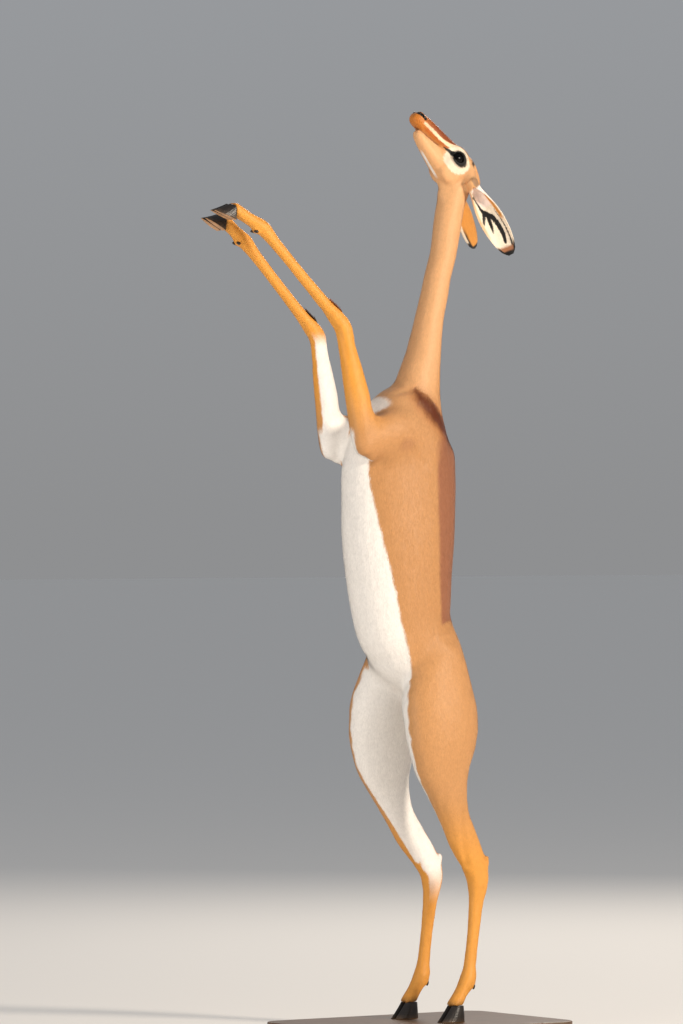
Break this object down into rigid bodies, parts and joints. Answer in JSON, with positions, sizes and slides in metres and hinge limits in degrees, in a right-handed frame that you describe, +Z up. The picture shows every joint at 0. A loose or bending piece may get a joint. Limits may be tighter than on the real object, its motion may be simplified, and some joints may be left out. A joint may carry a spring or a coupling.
{
  "type": "gerenuk figure",
  "caption": "Life-size still model of a female gerenuk standing upright on its hind legs to browse, forelegs raised, on a flat display base.",
  "frame": {"origin": "centre of the base's underside", "axes": "+Z up, -X the way the belly, the forelegs and the muzzle point, -Y the animal's left side"},
  "size_m": [0.8096, 0.38, 1.9286],
  "materials": {
    "coat": "short smooth coat, fawn sides with a darker back and a white belly",
    "coat_head": "very short coat, fawn with cream eye rings",
    "coat_leg": "very short amber coat",
    "ear_skin": "thin furred ear, white inside with dark streaks",
    "eye": "polished dark glass eye",
    "hoof": "dark horn, satin",
    "stand": "dark stained wood, satin lacquer"
  },
  "bodies": {
    "root": {"head": "coat_head", "neck": "coat", "chest": "coat", "belly": "coat", "rump": "coat", "ear_left": "ear_skin", "ear_right": "ear_skin", "eye_left": "eye", "eye_right": "eye", "tail": "coat", "stand_base": "stand", "hind_leg_left": "coat_leg", "hind_shank_left": "coat_leg", "hind_pastern_left": "coat_leg", "fore_leg_left": "coat_leg", "fore_shank_left": "coat_leg", "fore_pastern_left": "coat_leg", "hoof_fore_left_a": "hoof", "hoof_fore_left_b": "hoof", "hoof_hind_left_a": "hoof", "hoof_hind_left_b": "hoof", "hind_leg_right": "coat_leg", "hind_shank_right": "coat_leg", "hind_pastern_right": "coat_leg", "fore_leg_right": "coat_leg", "fore_shank_right": "coat_leg", "fore_pastern_right": "coat_leg", "hoof_fore_right_a": "hoof", "hoof_fore_right_b": "hoof", "hoof_hind_right_a": "hoof", "hoof_hind_right_b": "hoof"}
  },
  "joints": []
}
